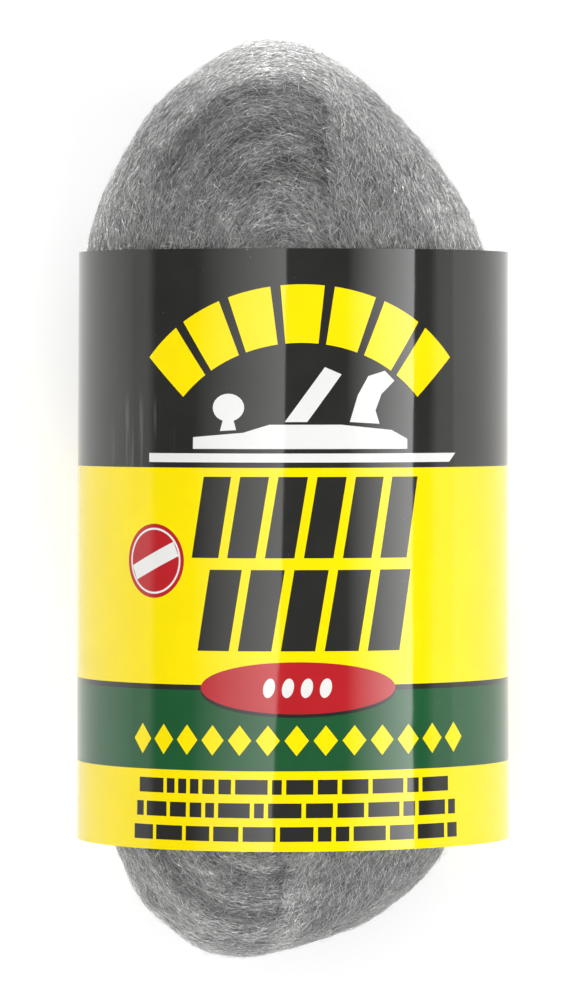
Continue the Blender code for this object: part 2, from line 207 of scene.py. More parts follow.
def makeSurround(settings):
    world = bpy.data.worlds.new("surround")
    bpy.context.scene.world = world
    world.use_nodes = True
    tree = world.node_tree
    tree.nodes.clear()
    output = tree.nodes.new("ShaderNodeOutputWorld")
    sky = tree.nodes.new("ShaderNodeBackground")
    sky.inputs["Color"].default_value = (1, 1, 1, 1)
    split = tree.nodes.new("ShaderNodeSeparateXYZ")
    tree.links.new(tree.nodes.new("ShaderNodeTexCoord").outputs["Generated"], split.inputs[0])
    lengthwise = mathNode(tree, "ABSOLUTE", split.outputs["Y"])
    above = rangeNode(tree, lengthwise, settings["from"], settings["to"], settings["sides"], settings["ends"])
    strength = rangeNode(
        tree, split.outputs["Z"], settings["backdropTop"], settings["clearAbove"], settings["backdrop"], above)
    tree.links.new(strength, sky.inputs["Strength"])
    tree.links.new(sky.outputs[0], output.inputs["Surface"])


def makeFloor(settings):
    half = settings["size"] / 2
    mesh = bpy.data.meshes.new("floorPaper")
    corners = [(-half, -half), (half, -half), (half, half), (-half, half)]
    mesh.from_pydata([(x, y, settings["height"]) for x, y in corners], [], [(0, 1, 2, 3)])
    floor = bpy.data.objects.new("floorPaper", mesh)
    studio.objects.link(floor)
    material = bpy.data.materials.new("floorPaper")
    material.use_nodes = True
    tree = material.node_tree
    shader = tree.nodes["Principled BSDF"]
    shader.inputs["Base Color"].default_value = (settings["tone"],) * 3 + (1,)
    shader.inputs["Roughness"].default_value = 0.9
    shader.inputs["Specular IOR Level"].default_value = 0.0
    glow = tree.nodes.new("ShaderNodeEmission")
    both = tree.nodes.new("ShaderNodeAddShader")
    rays = tree.nodes.new("ShaderNodeLightPath").outputs
    seen = mathNode(tree, "ADD", rays["Is Camera Ray"], rays["Is Glossy Ray"])
    anySeen = mathNode(tree, "ADD", seen, rays["Is Transmission Ray"])
    tree.links.new(times(tree, anySeen, settings["lift"]), glow.inputs["Strength"])
    tree.links.new(shader.outputs[0], both.inputs[0])
    tree.links.new(glow.outputs[0], both.inputs[1])
    tree.links.new(both.outputs[0], tree.nodes["Material Output"].inputs["Surface"])
    mesh.materials.append(material)


makeLamps()
makeSurround(surround)
makeFloor(floorPaper)
print("lamps, surround and floor ready")


# Shader groups. They put out only colours, values and heights that change over the surface.
def startGroup(name, inputs, outputs):
    group = bpy.data.node_groups.new(name, "ShaderNodeTree")
    for label, kind, value in inputs:
        socket = group.interface.new_socket(name=label, in_out="INPUT", socket_type="NodeSocket" + kind)
        if value is not None:
            socket.default_value = value
    for label, kind in outputs:
        group.interface.new_socket(name=label, in_out="OUTPUT", socket_type="NodeSocket" + kind)
    return group, group.nodes.new("NodeGroupInput"), group.nodes.new("NodeGroupOutput")


# Streaks that run along the wool's turns. Map is the wool's own flow map, in metres along and across the ribbon.
def makeFibreStreaks():
    inputs = [
        ("Map", "Vector", None),
        ("Place", "Vector", None),
        ("Along", "Float", 260.0),
        ("Across", "Float", 3200.0),
        ("Contrast", "Float", 1.0),
        ("Patches", "Float", 160.0),
    ]
    outputs = [("Tone", "Float"), ("Height", "Float")]
    group, start, end = startGroup("fibreStreaks", inputs, outputs)
    sockets = start.outputs
    fineMap = stretchedVector(group, sockets["Map"], sockets["Along"], sockets["Across"])
    fine = noiseNode(group, fineMap, 1.0, 3.0, 0.65, 0.6)
    half = times(group, sockets["Across"], 0.28)
    crossed = stretchedVector(group, sockets["Map"], half, half)
    tangle = noiseNode(group, crossed, 1.0, 4.0, 0.7, 1.4)
    patches = noiseNode(group, sockets["Place"], sockets["Patches"], 3.0, 0.55)
    streaks = rangeNode(group, fine, 0.30, 0.72)
    knots = rangeNode(group, tangle, 0.32, 0.70)
    both = mathNode(group, "ADD", times(group, streaks, 0.62), times(group, knots, 0.38))
    shade = rangeNode(group, patches, 0.30, 0.70, 0.72, 1.12)
    tone = times(group, both, shade)
    centred = mathNode(group, "SUBTRACT", tone, 0.5)
    spread = times(group, centred, sockets["Contrast"])
    group.links.new(mathNode(group, "ADD", spread, 0.5, clamp=True), end.inputs["Tone"])
    group.links.new(both, end.inputs["Height"])
    return group


# Dust specks, lengthwise scuffs, one rubbed patch and a faint unevenness, for the printed paper.
def makeHandling():
    inputs = [
        ("Place", "Vector", None),
        ("Ink", "Color", (0.5, 0.5, 0.5, 1.0)),
        ("Dust", "Float", 0.5),
        ("Scuffs", "Float", 0.5),
        ("Mottle", "Float", 0.04),
        ("Gloss", "Float", 0.1),
        ("Rub", "Vector", None),
        ("Rub Size", "Float", 0.001),
    ]
    outputs = [("Color", "Color"), ("Roughness", "Float"), ("Height", "Float")]
    group, start, end = startGroup("handling", inputs, outputs)
    sockets = start.outputs
    place = sockets["Place"]
    specks = rangeNode(group, noiseNode(group, place, 1300.0, 2.0, 0.6), 0.735, 0.80)
    drift = rangeNode(group, noiseNode(group, place, 28.0, 2.0, 0.5), 0.46, 0.62)
    dust = times(group, times(group, specks, drift), sockets["Dust"], clamp=True)
    lengthwise = stretchedVector(group, place, 900.0, 26.0)
    grain = noiseNode(group, lengthwise, 1.0, 2.0, 0.5)
    lines = rangeNode(group, grain, 0.70, 0.80)
    worn = rangeNode(group, noiseNode(group, place, 17.0, 1.0, 0.5), 0.54, 0.70)
    away = group.nodes.new("ShaderNodeVectorMath")
    away.operation = "DISTANCE"
    group.links.new(place, away.inputs[0])
    group.links.new(sockets["Rub"], away.inputs[1])
    near = rangeNode(group, mathNode(group, "DIVIDE", away.outputs["Value"], sockets["Rub Size"]), 0.35, 1.0, 1.0, 0.0)
    rubbed = times(group, rangeNode(group, grain, 0.55, 0.74), times(group, near, 0.38))
    streaks = mathNode(group, "MAXIMUM", times(group, lines, worn), rubbed)
    scuffs = times(group, streaks, sockets["Scuffs"], clamp=True)
    uneven = rangeNode(group, noiseNode(group, place, 60.0, 3.0, 0.6), 0.3, 0.7, -1.0, 1.0)
    shade = mathNode(group, "ADD", times(group, uneven, sockets["Mottle"]), 1.0)
    tinted = group.nodes.new("ShaderNodeVectorMath")
    tinted.operation = "SCALE"
    group.links.new(sockets["Ink"], tinted.inputs[0])
    group.links.new(shade, tinted.inputs["Scale"])
    marks = mathNode(group, "MAXIMUM", dust, times(group, scuffs, 0.45))
    colour = mixColours(group, marks, tinted.outputs[0], (0.62, 0.62, 0.60, 1.0))
    rough = mathNode(group, "ADD", sockets["Gloss"], times(group, scuffs, 0.22))
    rough = mathNode(group, "ADD", rough, times(group, dust, 0.4))
    rough = mathNode(group, "ADD", rough, times(group, uneven, 0.012), clamp=True)
    ripple = noiseNode(group, place, 90.0, 2.0, 0.5)
    group.links.new(colour, end.inputs["Color"])
    group.links.new(rough, end.inputs["Roughness"])
    group.links.new(ripple, end.inputs["Height"])
    return group


fibreStreaks = makeFibreStreaks()
handling = makeHandling()


def startMaterial(name):
    material = bpy.data.materials.new(name)
    material.use_nodes = True
    tree = material.node_tree
    return material, tree, tree.nodes["Principled BSDF"]


def placeGroup(tree, group, values):
    node = tree.nodes.new("ShaderNodeGroup")
    node.node_tree = group
    for label, value in values.items():
        setInput(tree, node.inputs[label], value)
    return node


def bumpNormal(tree, shader, height, distance, strength):
    bump = tree.nodes.new("ShaderNodeBump")
    bump.inputs["Distance"].default_value = distance
    bump.inputs["Strength"].default_value = strength
    tree.links.new(height, bump.inputs["Height"])
    tree.links.new(bump.outputs["Normal"], shader.inputs["Normal"])


def paperMaterial(name, ink, gloss, dust, scuffs, mottle, ior, rub=(0.0, 0.0, 0.0), rubSize=0.001):
    material, tree, shader = startMaterial(name)
    place = tree.nodes.new("ShaderNodeTexCoord").outputs["Object"]
    values = {"Place": place, "Ink": (*ink, 1.0), "Dust": dust, "Scuffs": scuffs, "Mottle": mottle, "Gloss": gloss,
              "Rub": rub, "Rub Size": rubSize}
    worn = placeGroup(tree, handling, values)
    tree.links.new(worn.outputs["Color"], shader.inputs["Base Color"])
    tree.links.new(worn.outputs["Roughness"], shader.inputs["Roughness"])
    bumpNormal(tree, shader, worn.outputs["Height"], 0.05 * mm, 0.25)
    shader.inputs["IOR"].default_value = ior
    material.diffuse_color = (*ink, 1.0)
    return material


inks = {
    "inkBlack": {"ink": (0.024, 0.024, 0.022), "gloss": 0.06, "dust": 0.8, "scuffs": 0.8, "mottle": 0.10, "ior": 1.5,
                 "rub": (-34 * mm, 14 * mm, 79 * mm), "rubSize": 13 * mm},
    "inkYellow": {"ink": (1.0, 0.80, 0.001), "gloss": 0.07, "dust": 0.06, "scuffs": 0.06, "mottle": 0.02, "ior": 1.45},
    "inkGreen": {"ink": (0.014, 0.100, 0.034), "gloss": 0.07, "dust": 0.5, "scuffs": 0.4, "mottle": 0.06, "ior": 1.5},
    "inkRed": {"ink": (0.50, 0.016, 0.022), "gloss": 0.08, "dust": 0.4, "scuffs": 0.4, "mottle": 0.05, "ior": 1.55},
    "inkWhite": {"ink": (0.84, 0.84, 0.82), "gloss": 0.10, "dust": 0.0, "scuffs": 0.1, "mottle": 0.02, "ior": 1.5},
    "barePaper": {"ink": (0.80, 0.80, 0.77), "gloss": 0.55, "dust": 0.0, "scuffs": 0.0, "mottle": 0.05, "ior": 1.45},
}
paper = {name: paperMaterial(name, **values) for name, values in inks.items()}
paperNames = list(paper)
print("paper materials ready")


# Paper sleeve. The same section as the CAD sleeve: a round pressed flat below, with a glued lap there.
sleeve = {
    "width": 99 * mm, "corner": 22 * mm, "flatSpot": 31.6 * mm, "flare": 0.9 * mm, "crestShift": 3.6 * mm,
    "thickness": 0.3 * mm, "lap": 14 * mm, "jog": 1.5 * mm, "lapGap": 0.3 * mm, "glueLine": 0.1 * mm,
    "shift": -10.2 * mm,
    "fields": {
        "yellowFoot": 17.9 * mm, "green": 17.9 * mm, "darkLine": 1.2 * mm, "yellow": 48.4 * mm, "black": 48.8 * mm,
    },
    "columnStep": 1.35 * mm, "rowStep": 3.2 * mm,
    "wave": 0.16 * mm, "edgeLift": 0.22 * mm, "edgeFade": 5 * mm, "calmFrom": 95 * mm, "calmTo": 118 * mm,
}
radius = sleeve["width"] / 2
flatHalf = sleeve["flatSpot"] / 2
axisHeight = sleeve["corner"] + math.sqrt((radius - sleeve["corner"]) ** 2 - flatHalf ** 2)
cornerAngle = math.atan2(axisHeight - sleeve["corner"], flatHalf)
lapHeight = sleeve["thickness"] + sleeve["glueLine"]
sleeveLength = sum(sleeve["fields"].values())
sleeveBottom = sleeve["shift"] - sleeveLength / 2
sleeveTop = sleeve["shift"] + sleeveLength / 2
greenBottom = sleeveBottom + sleeve["fields"]["yellowFoot"]
greenTop = greenBottom + sleeve["fields"]["green"]
yellowBottom = greenTop + sleeve["fields"]["darkLine"]
blackBottom = yellowBottom + sleeve["fields"]["yellow"]


def arcWalk(centreX, centreZ, arcRadius, start, end):
    def walk(share):
        angle = start + (end - start) * share
        return centreX + arcRadius * math.cos(angle), centreZ + arcRadius * math.sin(angle)
    return walk, abs(end - start) * arcRadius


def lineWalk(startX, endX, low, high):
    def walk(share):
        rise = share * share * (3 - 2 * share)
        return startX + (endX - startX) * share, low + (high - low) * rise
    return walk, abs(endX - startX)


def sleeveStretches():
    end = sleeve["lap"] / 2
    riseEnd = end + sleeve["lapGap"]
    riseStart = riseEnd + sleeve["jog"]
    corner = sleeve["corner"]
    down = -math.pi / 2
    return [
        lineWalk(end, -flatHalf, 0.0, 0.0),
        arcWalk(-flatHalf, corner, corner, down, cornerAngle - math.pi),
        arcWalk(0.0, axisHeight, radius, math.pi + cornerAngle, -cornerAngle),
        arcWalk(flatHalf, corner, corner, -cornerAngle, down),
        lineWalk(flatHalf, riseStart, 0.0, 0.0),
        lineWalk(riseStart, riseEnd, 0.0, lapHeight),
        lineWalk(riseEnd, -end, lapHeight, lapHeight),
    ]


stretches = sleeveStretches()
frontMiddle = stretches[0][1] + stretches[1][1] + stretches[2][1] / 2


def wrapStrip(place):
    for walk, length in stretches:
        if place <= length:
            return walk(place / length)
        place -= length
    return stretches[-1][0](1.0)


def flareAt(y):
    return 1 + sleeve["flare"] / sleeve["width"] * (sleeve["shift"] - y) / sleeveLength


# How far a point lies to the left because the front's crest does, more towards the lower end.
def crestShift(y, z):
    down = np.maximum(0.0, (sleeveTop - y) / sleeveLength)
    up = np.maximum(0.0, (z - axisHeight) / radius)
    return sleeve["crestShift"] * down * up * up


def smoothStep(value, start, end):
    share = np.clip((value - start) / (end - start), 0.0, 1.0)
    return share * share * (3 - 2 * share)


# Outline makers for the print. u runs across the front from its middle, y as on the hank, in metres.
def ellipseLine(u, y, width, height, points=48, tilt=0.0):
    line = []
    for step in range(points):
        angle = 2 * math.pi * step / points
        a, b = width / 2 * math.cos(angle), height / 2 * math.sin(angle)
        line.append((u + a * math.cos(tilt) - b * math.sin(tilt), y + a * math.sin(tilt) + b * math.cos(tilt)))
    return line


def slantedBars(width, bottom, height, slant, gap, count):
    bar = (width + gap) / count - gap
    rows = []
    for number in range(count):
        left = -width / 2 + number * (bar + gap)
        top = bottom + height
        rows.append([(left, bottom), (left + bar, bottom), (left + bar + slant, top), (left + slant, top)])
    return rows


def archBlocks(settings, centreY):
    spread, gap = math.radians(settings["spread"]), math.radians(settings["gap"])
    block = (spread + gap) / settings["blocks"] - gap
    found = []
    for number in range(settings["blocks"]):
        start = -spread / 2 + number * (block + gap)
        angles = [start + block * step / 6 for step in range(7)]
        inner, outer = settings["radius"], settings["radius"] + settings["band"]
        outside = [(outer * math.sin(a), centreY + outer * math.cos(a)) for a in angles]
        inside = [(inner * math.sin(a), centreY + inner * math.cos(a)) for a in angles]
        found.append(outside[::-1] + inside)
    return found


# The plane is drawn on a length of 50, with its sole at 0.
planeDrawing = {
    "body": [(-25, 0), (25, 0), (25, 2.2), (21, 4.2), (9, 5.4), (-7, 5.4), (-13, 3.6), (-25, 2.6)],
    "iron": [(-3.6, 6.0), (1.4, 6.0), (9.0, 16.6), (5.2, 18.2)],
    "handle": [(11, 6), (18, 5.6), (17, 8.6), (18.4, 12.2), (21.6, 15.2), (19.2, 17.4), (15.2, 16.2), (12.8, 12)],
    "stem": [(-18.4, 4.0), (-14.6, 4.2), (-15.4, 7.0), (-17.6, 7.0)],
}
printSizes = {
    "offset": 2.2 * mm, "drift": 1.8 * mm,    # from the middle at the top edge, and back over the sleeve's length
    "arch": {"radius": 37.8 * mm, "band": 13 * mm, "drop": 10 * mm, "spread": 94, "blocks": 7, "gap": 2.6},
    "bench": {"rise": 1.2 * mm, "length": 74 * mm, "thickness": 2 * mm},
    "plane": {"length": 50 * mm, "gap": 1 * mm},
    "bars": {"height": 18.1 * mm, "slant": 2.8 * mm, "gap": 2.1 * mm, "rise": 7.6 * mm, "rowGap": 2.6 * mm,
             "lowerWidth": 46.5 * mm, "lowerCount": 5, "upperWidth": 50 * mm, "upperCount": 6},
    "disc": {"across": -35.3 * mm, "rise": 27.5 * mm, "radius": 8.3 * mm, "edge": 1.8 * mm, "inside": 2.7 * mm,
             "bandInset": 1.35 * mm, "bandHalf": 0.25, "bandTilt": 24},
    "oval": {"drop": 0.6 * mm, "width": 44.6 * mm, "height": 11.6 * mm, "shadow": 0.8 * mm},
    "pips": {"count": 4, "pitch": 4.2 * mm, "width": 2.6 * mm, "height": 4.4 * mm, "tilt": -12},
    "diamonds": {"count": 13, "row": 77 * mm, "width": 5.4 * mm, "height": 6.8 * mm, "rise": 6.8 * mm},
    "dashes": {"rows": 3, "height": 3.3 * mm, "pitch": 5.25 * mm, "foot": 2.2 * mm, "gap": 0.95 * mm,
               "halfWidth": 41 * mm, "narrowing": 0.8 * mm, "shortest": 2 * mm, "seed": 11,
               "lengths": (2.2, 3.0, 4.4, 6.0, 7.4)},    # in mm
}


def dashRows(settings):
    dice = random.Random(settings["seed"])
    found = []
    for row in range(settings["rows"]):
        bottom = sleeveBottom + settings["foot"] + row * settings["pitch"]
        top = bottom + settings["height"]
        reach = settings["halfWidth"] - settings["narrowing"] * row
        u = -reach
        while u < reach - settings["shortest"]:
            end = min(u + dice.choice(settings["lengths"]) * mm, reach)
            found.append([(u, bottom), (end, bottom), (end, top), (u, top)])
            u = end + settings["gap"]
    return found


# The print stays nearly in the middle of the front, although the crest moves.
def printOffset(y):
    down = (sleeveTop - y) / sleeveLength
    return printSizes["offset"] + (sleeve["crestShift"] - printSizes["drift"]) * down


def printedShapes():
    sizes = printSizes
    shapes = [("inkYellow", block) for block in archBlocks(sizes["arch"], blackBottom - sizes["arch"]["drop"])]
    foot = blackBottom + sizes["bench"]["rise"]
    top = foot + sizes["bench"]["thickness"]
    half = sizes["bench"]["length"] / 2
    shapes.append(("inkWhite", [(-half, foot), (half, foot), (half + 2 * mm, top), (-half, top)]))
    scale = sizes["plane"]["length"] / 50
    sole = top + sizes["plane"]["gap"]
    for outline in planeDrawing.values():
        shapes.append(("inkWhite", [(scale * x, sole + scale * y) for x, y in outline]))
    shapes.append(("inkWhite", ellipseLine(-16.5 * scale, sole + 9.2 * scale, 7.4 * scale, 6.2 * scale, 24)))
    bars = sizes["bars"]
    lower = yellowBottom + bars["rise"]
    upper = lower + bars["height"] + bars["rowGap"]
    rows = slantedBars(bars["lowerWidth"], lower, bars["height"], bars["slant"], bars["gap"], bars["lowerCount"])
    rows += slantedBars(bars["upperWidth"], upper, bars["height"], bars["slant"], bars["gap"], bars["upperCount"])
    shapes += [("inkBlack", row) for row in rows]
    diamonds = sizes["diamonds"]
    for number in range(diamonds["count"]):
        u = diamonds["row"] * (number / (diamonds["count"] - 1) - 0.5)
        y = greenBottom + diamonds["rise"]
        a, b = diamonds["width"] / 2, diamonds["height"] / 2
        shapes.append(("inkYellow", [(u - a, y), (u, y - b), (u + a, y), (u, y + b)]))
    disc = sizes["disc"]
    u, y, size = disc["across"], yellowBottom + disc["rise"], 2 * disc["radius"]
    shapes.append(("inkRed", ellipseLine(u, y, size, size)))
    shapes.append(("inkWhite", ellipseLine(u, y, size - disc["edge"], size - disc["edge"])))
    shapes.append(("inkRed", ellipseLine(u, y, size - disc["inside"], size - disc["inside"])))
    tilt, half = math.radians(disc["bandTilt"]), disc["bandHalf"]
    reach = disc["radius"] - disc["bandInset"]
    band = []
    for along, across in ((-1, -half), (1, -half), (1, half), (-1, half)):
        a, b = along * reach * math.sqrt(1 - half ** 2), across * reach
        band.append((u + a * math.cos(tilt) - b * math.sin(tilt), y + a * math.sin(tilt) + b * math.cos(tilt)))
    shapes.append(("inkWhite", band))
    oval = sizes["oval"]
    y = yellowBottom - oval["drop"]
    shapes.append(("inkBlack", ellipseLine(0.0, y - oval["shadow"], oval["width"], oval["height"], 72)))
    shapes.append(("inkRed", ellipseLine(0.0, y, oval["width"], oval["height"], 72)))
    pips = sizes["pips"]
    for number in range(pips["count"]):
        u = (number - (pips["count"] - 1) / 2) * pips["pitch"]
        shapes.append(("inkWhite", ellipseLine(u, y, pips["width"], pips["height"], 20, math.radians(pips["tilt"]))))
    shapes += [("inkBlack", dash) for dash in dashRows(sizes["dashes"])]
    return [(ink, [(u + printOffset(y), y) for u, y in line]) for ink, line in shapes]


def fieldInk(y):
    if y > blackBottom:
        return "inkBlack"
    if y > yellowBottom:
        return "inkYellow"
    if y > greenTop:
        return "inkBlack"
    return "inkGreen" if y > greenBottom else "inkYellow"


def insideLine(u, y, outline):
    crossed = False
    for (u0, y0), (u1, y1) in zip(outline, outline[1:] + outline[:1]):
        if (y0 > y) != (y1 > y) and u < u0 + (y - y0) / (y1 - y0) * (u1 - u0):
            crossed = not crossed
    return crossed


def cutStrip(shapes):
    columns = [0.0]
    begun = 0.0
    for _, length in stretches:
        steps = max(1, round(length / sleeve["columnStep"]))
        columns += [begun + length * (step + 1) / steps for step in range(steps)]
        begun += length
    edges = [sleeveBottom, greenBottom, greenTop, yellowBottom, blackBottom, sleeveTop]
    rows = [edges[0]]
    for low, high in zip(edges, edges[1:]):
        steps = max(1, round((high - low) / sleeve["rowStep"]))
        rows += [low + (high - low) * (step + 1) / steps for step in range(steps)]
    points = [Vector((place - frontMiddle, y)) for place in columns for y in rows]
    sides = []
    for column in range(len(columns)):
        first = column * len(rows)
        sides += [(first + row, first + row + 1) for row in range(len(rows) - 1)]
        if column:
            sides += [(first + row - len(rows), first + row) for row in range(len(rows))]
    for _, outline in shapes:
        first, count = len(points), len(outline)
        points += [Vector(point) for point in outline]
        sides += [(first + n, first + (n + 1) % count) for n in range(count)]
    cut = delaunay_2d_cdt(points, sides, [], 0, 1e-6)
    return cut[0], cut[2]


# The paper isn't quite even: long soft waves, and edges that stand off the wool a little. None of it is near the lap.
def paperOffset(u, y):
    calm = float(smoothStep(abs(u), sleeve["calmTo"], sleeve["calmFrom"]))
    # radians per metre, and phases that keep the waves from lining up
    wave = math.sin(u * 61 + 0.7) * math.cos(y * 23 + 1.1) + 0.6 * math.sin(u * 143 + y * 31)
    edge = min(y - sleeveBottom, sleeveTop - y)
    lift = math.exp(-edge / sleeve["edgeFade"]) * (0.55 + 0.45 * math.sin(u * 47 + (2.0 if y > 0 else 0.3)))
    return calm * (sleeve["wave"] * wave * 0.6 + sleeve["edgeLift"] * lift)


normalStep = 0.2 * mm    # how far apart the paper is read on both sides of a point, to find which way is outward


def makeSleeve():
    shapes = printedShapes()
    points, triangles = cutStrip(shapes)
    wrapped = []
    for u, y in points:
        place = u + frontMiddle
        x, z = wrapStrip(place)
        if abs(u) < sleeve["calmTo"]:
            aheadX, aheadZ = wrapStrip(place + normalStep)
            backX, backZ = wrapStrip(place - normalStep)
            outward = Vector((-(aheadZ - backZ), aheadX - backX)).normalized()
            offset = paperOffset(u, y)
            x, z = x + outward[0] * offset, z + outward[1] * offset
        wrapped.append((x * flareAt(y) - crestShift(y, z), y, z))
    mesh = bpy.data.meshes.new("printedSleeve")
    mesh.from_pydata(wrapped, [], triangles)
    for name in paperNames:
        mesh.materials.append(paper[name])
    boxes = []
    for ink, line in shapes:
        across, along = zip(*line)
        boxes.append((ink, line, min(across), max(across), min(along), max(along)))
    slots = []
    for corners in triangles:
        u = sum(points[c][0] for c in corners) / len(corners)
        y = sum(points[c][1] for c in corners) / len(corners)
        ink = fieldInk(y)
        for shapeInk, line, left, right, low, high in boxes:
            if left < u < right and low < y < high and insideLine(u, y, line):
                ink = shapeInk
        slots.append(paperNames.index(ink))
    mesh.polygons.foreach_set("material_index", slots)
    mesh.shade_smooth()
    piece = bpy.data.objects.new("printedSleeve", mesh)
    pieces.objects.link(piece)
    wall = piece.modifiers.new("paper", "SOLIDIFY")
    wall.thickness = sleeve["thickness"]
    wall.offset = -1.0
    wall.use_even_offset = True
    wall.material_offset = len(paperNames)
    wall.material_offset_rim = len(paperNames)
    applyModifiers(piece)
    piece.data.set_sharp_from_angle(angle=math.radians(40))
    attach(piece, "root")
    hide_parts("paper_sleeve")
    return piece


def applyModifiers(piece):
    graph = bpy.context.evaluated_depsgraph_get()
    mesh = bpy.data.meshes.new_from_object(piece.evaluated_get(graph))
    old = piece.data
    piece.modifiers.clear()
    piece.data = mesh
    bpy.data.meshes.remove(old)
    mesh.name = piece.name


printedSleeve = makeSleeve()
print("sleeve:", len(printedSleeve.data.polygons), "faces")


# Wool hank. The CAD hank's form worked on arrays, with a softer last turn, small dents and a narrower lower tip.
hank = {
    "length": 210 * mm, "springAcross": 5.5 * mm, "springUp": 5 * mm, "core": 80 * mm,
    "topRoundness": 1.95, "bottomRoundness": 2.2, "faceRoundness": 2.5,
    "topLean": 5.3 * mm, "topLeanPower": 1.5, "bottomLean": 12.6 * mm, "bottomLeanPower": 6.4,
    "turns": 7, "groove": 0.8 * mm, "rim": 4.6 * mm,
    "lastTurn": 8.5 * mm, "lastTurnBlend": 4.5 * mm, "lastTurnRise": 1.8 * mm,
    "flapEdge": 12 * mm, "flapSlant": 7 * mm, "flapSlantEnd": 75 * mm, "flapBlend": 2.2 * mm,
    "flapFill": 0.8, "flapFillBlend": 2 * mm,    # how far the ribbon's end fills the grooves under it
    "seamShade": 1.7 * mm, "seamBelow": 0.8,
    "tuftHeight": 0.6 * mm, "tuftFade": 6 * mm, "tuftsRound": 12, "tuftsAcross": 6,
    "clearance": 0.55 * mm, "softness": 1.5 * mm,
    "columns": 300, "faceRings": 62, "rimRings": 26,
    "lump": 0.12 * mm, "lumps": ((11 * mm, 1.0, 5), (5 * mm, 0.6, 8)),    # size, share and seed of each
    "inset": 0.25 * mm, "lowerPull": 0.9 * mm, "dentFrom": 20 * mm,
    "flowScale": 0.05, "rimFlow": 0.1, "poleFlows": ((0.0, 0.178), (0.0, 0.022)),    # metres on the flow map
}
# Painted light and shade on the wool's tone over the hank. Most shares darken it: painted shade in the grooves, the
# dips between tufts, the upper end's inner turns and the lower tip, a painted shadow beside the ribbon end's seam, and
# a darker ribbon end. Those of lit, leftLow, leftHigh and upperTip lighten it as painted light: by the sleeve's edges,
# on the left side and on the upper tip. One more lightens a band along the ribbon end's edge.
paintedWoolShading = {
    "groove": 0.30, "seam": 0.60, "lowerSeamLess": 0.6, "tuft": 0.06, "inner": 0.38,
    "upperRibbon": 0.3, "lowerRibbon": 0.55, "ribbonFrom": 4 * mm, "ribbonTo": 9 * mm,
    "lowerTip": (0.5, 94 * mm, 104 * mm), "upperTip": (0.85, 90 * mm, 99 * mm),    # share, from and to
    "lit": 1.6, "litAbove": 14 * mm, "litBelow": 16 * mm, "litBelowShare": 0.4, "facing": 15 * mm,
    "leftLow": (1.05, 5 * mm, 30 * mm), "leftHigh": (0.25, 20 * mm, 40 * mm),
    "fromMiddle": 60 * mm, "highFade": (90 * mm, 70 * mm),
    "edgeBand": 0.7, "edgeBandPlace": 2 * mm, "edgeBandWidth": 2.5 * mm,
    "lightest": -1.6,
}
# Where the outline is drawn in: side of the hank, place along it, half length, how deep.
dents = (
    (1, 93 * mm, 11 * mm, 1.8 * mm),
    (-1, 100 * mm, 7 * mm, 2.0 * mm),
    (1, -79 * mm, 5 * mm, 1.6 * mm),
)
# How the lower tip narrows: side, where it begins, over what length, power, share.
tips = ((1, 96 * mm, 9 * mm, 1.5, 0.45), (-1, 92 * mm, 12 * mm, 0.8, 0.14))
turnsLength = (hank["length"] - hank["core"]) / 2
faceReach = 1 - hank["rim"] / turnsLength
lastTurnReach = 1 - hank["lastTurn"] / turnsLength
lastTurnFoot = lastTurnReach - hank["lastTurnBlend"] / turnsLength


def signedPower(value, power):
    return np.sign(value) * np.abs(value) ** power


def hashWave(x, y, z, size, seed, waves=6):
    total = np.zeros_like(x)
    dice = np.random.default_rng(seed)
    for _ in range(waves):
        direction = dice.normal(size=3)
        direction /= np.linalg.norm(direction)
        pitch = size * dice.uniform(0.6, 1.6)
        phase = dice.uniform(0, 2 * math.pi)
        total += np.sin((x * direction[0] + y * direction[1] + z * direction[2]) * 2 * math.pi / pitch + phase)
    return total / waves ** 0.5


def roomInside(angle):
    inset = sleeve["thickness"] + hank["clearance"]
    drop = sleeve["corner"] - axisHeight
    toCorner = np.abs(np.cos(angle)) * flatHalf + np.sin(angle) * drop
    offset = flatHalf ** 2 + drop ** 2 - (sleeve["corner"] - inset) ** 2
    low = toCorner + np.sqrt(np.maximum(0.0, toCorner ** 2 - offset))
    room = np.where(np.sin(angle) > -math.sin(cornerAngle), radius - inset, low)
    under = (axisHeight - lapHeight - inset) / np.maximum(1e-6, -np.sin(angle))
    return np.where(np.sin(angle) < 0, np.minimum(room, under), room)


# The edge of the ribbon's end slants over the front, from right of the middle above to left of it below.
def flapEdge(y):
    return hank["flapEdge"] - hank["flapSlant"] * smoothStep(-y, 0.0, hank["flapSlantEnd"])


def leanAt(y):
    share = np.abs(y) / (hank["length"] / 2)
    top = -hank["topLean"] * share ** hank["topLeanPower"]
    return np.where(y > 0, top, -hank["bottomLean"] * share ** hank["bottomLeanPower"])


def lastTurnShare(reach, x, y):
    rim = smoothStep(reach, lastTurnFoot, lastTurnReach)
    flap = smoothStep(x, flapEdge(y) - hank["flapBlend"], flapEdge(y))
    return np.maximum(rim, flap)


# 1 on the ends that show and 0 under the sleeve.
def showing(y, fade):
    return np.maximum(smoothStep(y, sleeveTop, sleeveTop + fade), smoothStep(-y, -sleeveBottom, fade - sleeveBottom))


